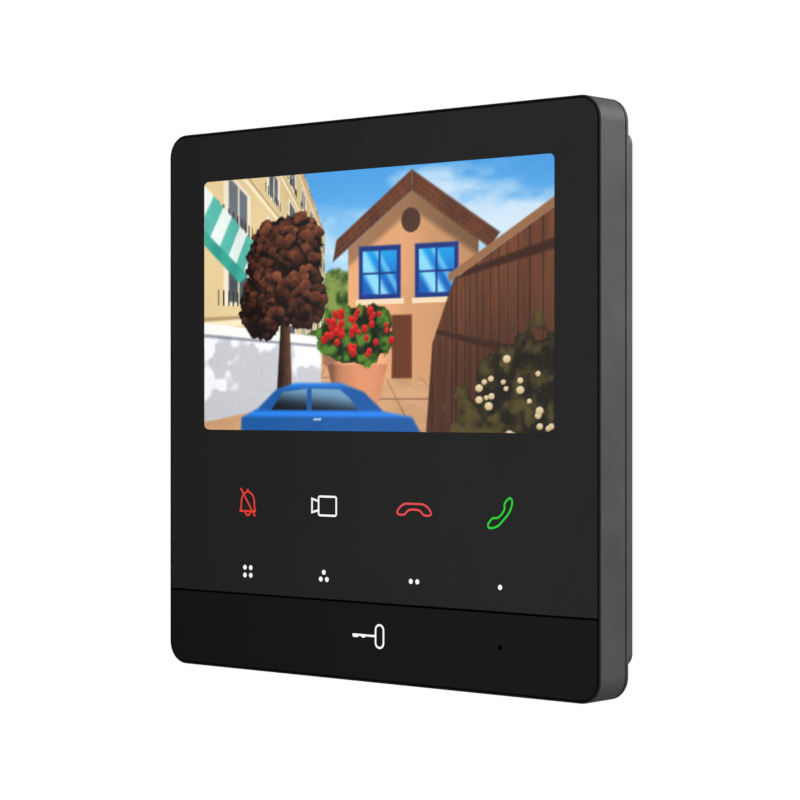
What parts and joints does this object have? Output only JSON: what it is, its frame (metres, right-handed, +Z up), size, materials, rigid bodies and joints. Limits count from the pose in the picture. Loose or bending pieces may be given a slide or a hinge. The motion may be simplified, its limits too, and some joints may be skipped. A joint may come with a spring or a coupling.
{
  "type": "video intercom monitor",
  "caption": "Thin wall-mounted video intercom monitor: colour display, touch keys, a hinged door-release bar, a speaker and microphone, and a steel wall plate with hooks.",
  "frame": {"origin": "on the wall, at the centre of the two slots of the wall plate", "axes": "+X right seen from the front, +Z up, front faces -Y, +Y into the wall"},
  "size_m": [0.1168, 0.0223, 0.1162],
  "materials": {
    "housing": "fine satin grain",
    "rear_housing": "fine satin grain",
    "front_panel": "smooth satin, black",
    "lens": "clear hard-coated lens",
    "bar": "smooth satin, deep black",
    "steel": "ground pin",
    "foam": "closed-cell foam",
    "steel_sheet": "bright rolled sheet",
    "lcd_glass": "lit picture under glass",
    "backlight": "white light guide",
    "flex": "amber film",
    "connector": "ivory plastic",
    "white_plastic": "white, slightly translucent",
    "contact_rubber": "conductive rubber",
    "led": "cast resin",
    "board": "green solder mask",
    "screw_steel": "zinc plated",
    "switch_body": "black nylon",
    "plunger": "natural nylon",
    "microphone_can": "pressed can",
    "boot_rubber": "soft rubber",
    "chip": "moulded epoxy",
    "inductor": "pressed ferrite",
    "capacitor_can": "drawn can",
    "radio_can": "tinned shield",
    "antenna": "printed film",
    "lead": "thin coaxial lead",
    "ribbon": "white flat ribbon",
    "jack_body": "black nylon",
    "jack_shield": "nickel plated",
    "gold": "gold flash",
    "terminal_green": "green nylon",
    "terminal_steel": "zinc plated",
    "speaker_plastic": "black frame",
    "magnet": "nickel plated magnet",
    "cone": "thin formed film",
    "plate_steel": "galvanised sheet"
  },
  "bodies": {
    "wall_plate": {"wall_plate": "plate_steel"},
    "monitor": {"front_frame": "housing", "front_panel": "front_panel", "display_window": "lens", "hinge_pins": "steel", "display_gasket": "foam", "lcd_bezel": "steel_sheet", "lcd_glass": "lcd_glass", "lcd_backlight": "backlight", "lcd_flex_cable": "flex", "display_connector": "connector", "icon_light_box": "white_plastic", "touch_contacts": "contact_rubber", "key_lights": "led", "key_board": "board", "key_board_screws": "screw_steel", "unlock_switch": "switch_body", "microphone": "microphone_can", "microphone_boot": "boot_rubber", "main_board": "board", "board_screws": "screw_steel", "processor": "chip", "memory_chips": "chip", "power_chip": "chip", "power_inductors": "inductor", "capacitors": "capacitor_can", "network_transformer": "chip", "radio_module": "radio_can", "antenna": "antenna", "antenna_lead": "lead", "ribbon_connectors": "connector", "board_ribbon_cable": "ribbon", "network_jack": "jack_body", "network_jack_shield": "jack_shield", "network_jack_contacts": "gold", "terminal_header": "terminal_green", "terminal_pins": "gold", "speaker_frame": "speaker_plastic", "speaker_magnet": "magnet", "speaker_cone": "cone", "speaker_gasket": "foam", "rear_cover": "rear_housing", "housing_screws": "screw_steel"},
    "unlock_bar": {"unlock_bar": "bar"},
    "switch_plunger": {"switch_plunger": "plunger"},
    "terminal_plug": {"terminal_plug": "terminal_green", "terminal_screws": "terminal_steel", "terminal_clamps": "terminal_steel"}
  },
  "joints": [
    {"name": "lift_off", "type": "slide", "parent": "wall_plate", "child": "monitor", "axis": [0, 0, 1], "range_m": [0, 0.0042]},
    {"name": "unlock_press", "type": "hinge", "parent": "monitor", "child": "unlock_bar", "pos_m": [0, -0.0073, -0.0436], "axis": [1, 0, 0], "range_deg": [0, 2.08], "stiffness_Nm_per_rad": 0.3, "springref_deg": -0.57},
    {"name": "switch_travel", "type": "slide", "parent": "monitor", "child": "switch_plunger", "axis": [0, 1, 0], "range_m": [0, 0.00026]},
    {"name": "terminal_pull", "type": "slide", "parent": "monitor", "child": "terminal_plug", "axis": [0, 0, -1], "range_m": [0, 0.008]}
  ],
  "couplings": [
    {"joint": "switch_travel", "follows": "unlock_press", "m_per_rad": 0.0069}
  ]
}
